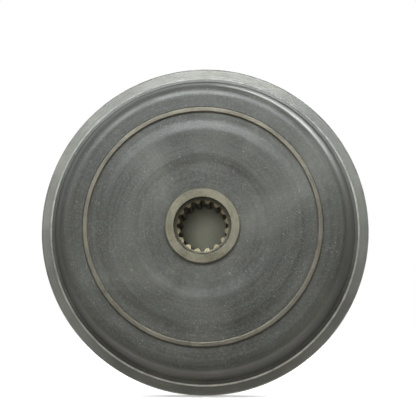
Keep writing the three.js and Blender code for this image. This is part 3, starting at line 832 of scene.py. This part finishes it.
def spring(name, start, end):
    """A round-wire arc spring between two angles, with its end coils closed up."""
    closing = 2 * WIRE_R / (ARC_R * (end - start))      # one wire's thickness, as a share of the spring

    def along(turns):
        """How far along the arc the wire is after so many turns, from 0 to 1."""
        first = closing * 0.5
        if turns < 1:
            return first + END_RISE * closing * turns ** 2
        if turns > COIL_TURNS - 1:
            return 1 - (first + END_RISE * closing * (COIL_TURNS - turns) ** 2)
        low, high = first + END_RISE * closing, 1 - first - END_RISE * closing
        return low + (high - low) * (turns - 1) / (COIL_TURNS - 2)

    count = COIL_TURNS * COIL_STEPS
    path = []
    for i in range(count + 1):
        turns = COIL_TURNS * i / count
        angle = start + (end - start) * along(turns)
        swing = TURN * turns
        outwards = ARC_R + COIL_R * math.cos(swing)
        path.append(Vector((outwards * math.cos(angle), -(ARC_DEPTH + COIL_R * math.sin(swing)),
                            outwards * math.sin(angle))))
    frames = []
    for i, point in enumerate(path):
        ahead = (path[min(i + 1, count)] - path[max(i - 1, 0)]).normalized()
        turns = COIL_TURNS * i / count
        angle = start + (end - start) * along(turns)
        outwards = Vector((math.cos(angle), 0, math.sin(angle)))
        spoke = point - (outwards * ARC_R + Vector((0, -ARC_DEPTH, 0)))
        side = ahead.cross(spoke).normalized()
        frames.append((point, side.cross(ahead).normalized(), side))
    section = [polar(WIRE_R, TURN * k / WIRE_SIDES) for k in range(WIRE_SIDES)]
    return swept(name, section, frames)


shoe_section = rounded([
    (120.6, SHOE_REAR, 0.7), (123.6, SHOE_REAR, 0.9), (123.6, SHOE_FRONT, 0.9), (120.6, SHOE_FRONT, 0.7),
    (120.4, 41, 1.5), (121.9, 37, 3.0), (120.4, 33, 1.5),
], 4)
for i, lug in enumerate(LUG_ANGLES):
    first, last = lug + SPRING_END, lug + TURN / SPRINGS - SPRING_END
    coil = spring(f"spring_{i + 1}_fine", first, last)
    coil.data.shade_smooth()
    coil.data.set_sharp_from_angle(angle=math.radians(50))
    coil.data.materials.append(SPRING)
    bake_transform(coil)
    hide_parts(f"spring_{i + 1}")

    shoe = swept(f"slide_shoe_{i + 1}_fine", shoe_section,
                 sector_frames(lug + SHOE_END, lug + TURN / SPRINGS - SHOE_END, 48))
    bevelled(shoe, width=0.4, angle=60)
    dressed(shoe, f"slide_shoe_{i + 1}", "primary", NYLON)

# ---- friction pack, washer, bush and closing cap ----


FACE_EDGE = 0.6                 # depth of the front face's rounded edge, which a groove takes with it


def grooved(groove_depth, count, front, half_width):
    """A shift that sinks radial grooves into a ring's front face."""
    def shift(radius, depth, angle):
        away = abs((angle * count / TURN + 0.5) % 1 - 0.5) * TURN / count * radius
        sink = groove_depth * max(0.0, 1 - (away / half_width) ** 2)
        return radius, depth - (sink if depth > front - FACE_EDGE else 0)
    return shift


FRICTION_REAR, FRICTION_FRONT = 28.2, 34.7
friction = lathe("friction_ring_fine", ring_section(66, 80, FRICTION_REAR, FRICTION_FRONT, 0.6), 384,
                 shift=grooved(groove_depth=1.0, count=12, front=FRICTION_FRONT, half_width=2.2))
dressed(friction, "friction_ring", "primary", NYLON)

diaphragm = lathe("diaphragm_spring_fine", rounded([
    (67, 20.4, 0.4), (67, 22.0, 0.4), (79, 27.9, 0.4), (79, 26.2, 0.4),
], 3), 192)
SLOTS = 18
SLOT_START_R, SLOT_END_R = 65, 71.5
SLOT_HALF, SLOT_EYE_R = 0.8, 1.5
SLOT_REAR, SLOT_FRONT = 18, 30
slots = []
for k in range(SLOTS):
    angle = TURN * k / SLOTS
    slots.append(plug_cutter(SLOT_EYE_R, SLOT_REAR, SLOT_FRONT, 24, polar(SLOT_END_R, angle)))
    out, across = Vector((math.cos(angle), math.sin(angle))), Vector((-math.sin(angle), math.cos(angle)))
    sides = ((SLOT_START_R, SLOT_HALF), (SLOT_END_R, SLOT_HALF),
             (SLOT_END_R, -SLOT_HALF), (SLOT_START_R, -SLOT_HALF))
    slots.append(prism("cut", [tuple(out * r + across * w) for r, w in sides], SLOT_REAR, SLOT_FRONT))
for cutter in slots:
    combined(diaphragm, [cutter], "DIFFERENCE")
dressed(diaphragm, "diaphragm_spring", "primary", SPRING)

WASHER_REAR, WASHER_FRONT = PAD_FRONT + GAP, HUB_FLANGE_REAR - GAP
washer = lathe("thrust_washer_fine", ring_section(31.5, 44, WASHER_REAR, WASHER_FRONT, 0.4), 288,
               shift=grooved(groove_depth=0.7, count=4, front=WASHER_FRONT, half_width=1.6))
dressed(washer, "thrust_washer", "primary", BRONZE)

BUSH_REAR, BUSH_FRONT = 9.5, PAD_FRONT - GAP
bush = lathe("support_bush_fine", rounded([
    (28.4, BUSH_REAR, 0.5), (30.6, BUSH_REAR, 0.7), (30.6, BUSH_FRONT, 0.7), (28.4, BUSH_FRONT, 0.5),
], 3), 144)
SPLIT_HALF = 0.2
split_cut = prism("cut", [(26, -SPLIT_HALF), (33, -SPLIT_HALF), (33, SPLIT_HALF), (26, SPLIT_HALF)], 8, 27)
combined(bush, [split_cut], "DIFFERENCE")
dressed(bush, "support_bush", "primary", BRONZE)

DISH_R = 24                     # edge of the cap's crowned middle
DISH_RISE = 1.8
CAP_R = HOUSING_R - GAP
CAP_REAR, CAP_FRONT = 4.4, 6.0
CAP_RIM_R, CAP_RIM_FRONT = 29.1, 7.8            # its turned-up rim, inside and in front
crown = [(r, DISH_RISE * (1 - (r / DISH_R) ** 2)) for r in range(0, 23, 2)]
cap_rear = [(r, CAP_REAR + rise) for r, rise in crown]
cap_front = [(r, CAP_FRONT + rise) for r, rise in reversed(crown)]
cap = lathe("closing_cap_fine", cap_rear[:-1] + rounded([
    cap_rear[-1], (DISH_R, CAP_REAR, 3.0), (CAP_R, CAP_REAR, 1.2), (CAP_R, CAP_RIM_FRONT, 0.4),
    (CAP_RIM_R, CAP_RIM_FRONT, 0.4), (CAP_RIM_R, CAP_FRONT, 0.7), (DISH_R, CAP_FRONT, 3.0), cap_front[0],
], 6) + cap_front[1:], 128)
dressed(cap, "closing_cap", "primary", CAP)

# ---- studs, dowel pins and plugs ----

STUD_REAR, STUD_FRONT = -25.5, 19.5
STUD_SIDES = 32
STUD_STEP = 0.125               # along the stud
BAND_REAR, BAND_FRONT = -3.5, 1.5               # plain band between the threads
FINE_PITCH, COARSE_PITCH = 1.0, 1.5             # behind the band, and in front of it
POINT_R = 3.9                   # at the stud's chamfered ends


def stud_radius(depth, angle):
    """The stud's radius at a depth and an angle, with the threads fading out towards the band."""
    if BAND_REAR <= depth <= BAND_FRONT:
        return 4.92
    start, pitch = (BAND_FRONT, COARSE_PITCH) if depth > BAND_FRONT else (BAND_REAR, FINE_PITCH)
    phase = (depth / pitch + angle / TURN) % 1
    tooth = min(1.0, max(0.0, 1.35 * (1 - 2 * abs(phase - 0.5)) - 0.12))
    fade = min(1.0, abs(depth - start) / 1.6)
    return 4.98 - 0.60 * pitch * fade * (1 - tooth)


def stud(name, at):
    """A double-ended stud with two real screw threads, a plain band between them and chamfered ends."""
    rows = int((STUD_FRONT - STUD_REAR) / STUD_STEP)
    points, faces = [], []
    for i in range(rows + 1):
        depth = STUD_REAR + STUD_STEP * i
        chamfer_r = POINT_R + min(depth - STUD_REAR, STUD_FRONT - depth)
        for k in range(STUD_SIDES):
            angle = TURN * k / STUD_SIDES
            radius = min(stud_radius(depth, angle), chamfer_r)
            points.append((at[0] + radius * math.cos(angle), -depth, at[1] + radius * math.sin(angle)))
    for i in range(rows):
        row, after = i * STUD_SIDES, (i + 1) * STUD_SIDES
        for k in range(STUD_SIDES):
            n = (k + 1) % STUD_SIDES
            faces.append((row + k, row + n, after + n, after + k))
    faces.append(tuple(range(STUD_SIDES)))
    faces.append(tuple(range(rows * STUD_SIDES, (rows + 1) * STUD_SIDES)))
    return mesh_object(name, points, faces)


for i, angle in enumerate(LUG_ANGLES):
    piece = stud(f"stud_{i + 1}_fine", polar(STUD_CIRCLE_R, angle))
    dressed(piece, f"stud_{i + 1}", "primary", ZINC, 50)

DOWEL_REAR, DOWEL_FRONT = -6, 11
DOWEL_OUTLINE = rounded([
    (0, DOWEL_REAR), (DOWEL_R - 1, DOWEL_REAR, 0.4), (DOWEL_R, DOWEL_REAR + 1, 0.5),
    (DOWEL_R, DOWEL_FRONT - 0.6, 0.5), (DOWEL_R - 0.6, DOWEL_FRONT, 0.3), (0, DOWEL_FRONT),
], 4)
PLUG_REAR, PLUG_FRONT = 6.5, 13.5
PLUG_OUTLINE = rounded([
    (0, PLUG_REAR), (5.2, PLUG_REAR, 0.2), (PLUG_R, 7.3, 0.2), (PLUG_R, 13, 0.2), (5.5, PLUG_FRONT, 0.2),
    (0, PLUG_FRONT),
], 3)
SOCKET_R = 3.4                  # over the corners of the plug's hexagon socket
SOCKET_FLOOR = 10.5
for i, angle in enumerate(PAIR_ANGLES):
    dowel = lathe(f"dowel_pin_{i + 1}_fine", DOWEL_OUTLINE, 48, polar(STUD_CIRCLE_R, angle))
    dressed(dowel, f"dowel_pin_{i + 1}", "primary", HARDENED)

    at = polar(PLUG_CIRCLE_R, angle)
    plug = lathe(f"grease_plug_{i + 1}_fine", PLUG_OUTLINE, 48, at)
    corners = [polar(SOCKET_R, TURN * k / 6) for k in range(6)]
    hexagon = [(at[0] + x, at[1] + z) for x, z in corners]
    combined(plug, [prism("cut", hexagon, PLUG_REAR - OVERCUT, SOCKET_FLOOR)], "DIFFERENCE")
    mouth = [(0, PLUG_REAR - OVERCUT), (3.9, PLUG_REAR - OVERCUT), (3.9, PLUG_REAR), (3.0, 7.2), (0, 7.2)]
    combined(plug, [lathe("cut", mouth, 48, at)], "DIFFERENCE")
    dressed(plug, f"grease_plug_{i + 1}", "primary", HARDENED)

# ---- floor, light and camera ----


def fading_floor(name):
    """A pale floor that glows a little more towards the horizon."""
    material = bpy.data.materials.new(name)
    material.use_nodes = True
    tree = material.node_tree
    paint = tree.nodes["Principled BSDF"]
    paint.inputs["Base Color"].default_value = (0.93, 0.93, 0.925, 1)
    paint.inputs["Roughness"].default_value = 0.8
    paint.inputs["Emission Color"].default_value = (1, 1, 1, 1)
    where = tree.nodes.new("ShaderNodeTexCoord")
    away = tree.nodes.new("ShaderNodeVectorMath")
    away.operation = "LENGTH"
    fade = tree.nodes.new("ShaderNodeMapRange")
    for socket, number in zip(list(fade.inputs)[1:5], (0.3, 1.6, 0.36, 0.60)):
        socket.default_value = number
    tree.links.new(where.outputs["Object"], away.inputs[0])
    tree.links.new(away.outputs["Value"], fade.inputs["Value"])
    tree.links.new(fade.outputs[0], paint.inputs["Emission Strength"])
    return material


FLOOR_HEIGHT = -0.1502          # just under the rim
bpy.ops.mesh.primitive_plane_add(size=9, location=(0, 0, FLOOR_HEIGHT))
floor = bpy.context.object
floor.name = "floor"
floor.data.materials.append(fading_floor("pale_floor"))
floor.visible_diffuse = False         # the light from below is the world's, which is dimmer than this floor
floor.visible_glossy = False


def studio_world():
    """A world that is plain white to the camera and lights the part softly, dimmest at the horizon."""
    world = bpy.data.worlds.new("studio")
    scene.world = world
    world.use_nodes = True
    sky = world.node_tree
    background = sky.nodes["Background"]
    where = sky.nodes.new("ShaderNodeTexCoord")
    split = sky.nodes.new("ShaderNodeSeparateXYZ")
    sky.links.new(where.outputs["Generated"], split.inputs[0])

    def by_height(low, high, to_low, to_high):
        """A value that goes smoothly from to_low to to_high between two heights in the sky."""
        height = sky.nodes.new("ShaderNodeMapRange")
        height.interpolation_type = "SMOOTHSTEP"
        for socket, number in zip(list(height.inputs)[1:5], (low, high, to_low, to_high)):
            socket.default_value = number
        sky.links.new(split.outputs[2], height.inputs["Value"])
        return height.outputs[0]

    def colour_mix(factor, a, b):
        """A mix of two colours. a may be a node's output."""
        made = sky.nodes.new("ShaderNodeMix")
        made.data_type = "RGBA"
        sky.links.new(factor, made.inputs[0])
        if isinstance(a, bpy.types.NodeSocket):
            sky.links.new(a, made.inputs[6])
        else:
            made.inputs[6].default_value = a
        made.inputs[7].default_value = b
        return made.outputs[2]

    ground_glow = by_height(-0.50, -0.12, 0.80, 0.33)
    sky_glow = by_height(0.00, 0.40, 0.0, 0.26)
    both = sky.nodes.new("ShaderNodeMath")
    both.operation = "ADD"
    sky.links.new(ground_glow, both.inputs[0])
    sky.links.new(sky_glow, both.inputs[1])

    seen = sky.nodes.new("ShaderNodeLightPath").outputs["Is Camera Ray"]
    choose = sky.nodes.new("ShaderNodeMix")
    sky.links.new(seen, choose.inputs[0])
    sky.links.new(both.outputs[0], choose.inputs[2])
    choose.inputs[3].default_value = 1.0
    sky.links.new(choose.outputs[0], background.inputs["Strength"])

    tint = colour_mix(by_height(-0.10, 0.45, 0.0, 1.0), (1.0, 0.985, 0.92, 1), (0.90, 0.96, 1.0, 1))
    sky.links.new(colour_mix(seen, tint, (1, 1, 1, 1)), background.inputs["Color"])


studio_world()


def softbox(name, place, aim, size, power, colour):
    """A rectangular lamp at a place, turned towards a point."""
    light = bpy.data.lights.new(name, "AREA")
    light.shape = "RECTANGLE"
    light.size, light.size_y = size
    light.energy = power
    light.color = colour
    lamp = bpy.data.objects.new(name, light)
    lamp.location = place
    lamp.rotation_mode = "QUATERNION"
    lamp.rotation_quaternion = (Vector(aim) - Vector(place)).to_track_quat("-Z", "Y")
    scene.collection.objects.link(lamp)


softbox("top_light", (-0.05, -0.62, 0.56), (0, -0.03, 0.05), (0.9, 0.35), 13.5, (0.93, 0.975, 1.0))
softbox("front_light", (-0.18, -1.7, 0.12), (0, -0.03, 0), (0.6, 0.6), 1.2, (1.0, 0.99, 0.94))
softbox("left_light", (-1.3, -0.9, 0.5), (0, -0.03, 0), (0.8, 1.0), 4.5, (1.0, 0.99, 0.96))
softbox("right_light", (1.4, -0.7, 0.45), (0, -0.03, 0), (0.7, 1.0), 4.5, (1.0, 0.99, 0.96))
softbox("back_light", (0.6, 1.2, 1.0), (0, 0, 0), (1.0, 0.8), 16, (1.0, 0.99, 0.97))

CAMERA_PLACE = (0.037, -1.0259, -0.0829)        # nearly square-on, a little below the axis
CAMERA_AIM = (0.0027, 0, 0.0222)
lens = bpy.data.cameras.new("camera")
lens.lens = 95.6
lens.sensor_width = 36
camera = bpy.data.objects.new("camera", lens)
camera.location = CAMERA_PLACE
camera.rotation_mode = "QUATERNION"
camera.rotation_quaternion = (Vector(CAMERA_AIM) - camera.location).to_track_quat("-Z", "Y")
scene.collection.objects.link(camera)
scene.camera = camera
scene.view_settings.view_transform = "Standard"
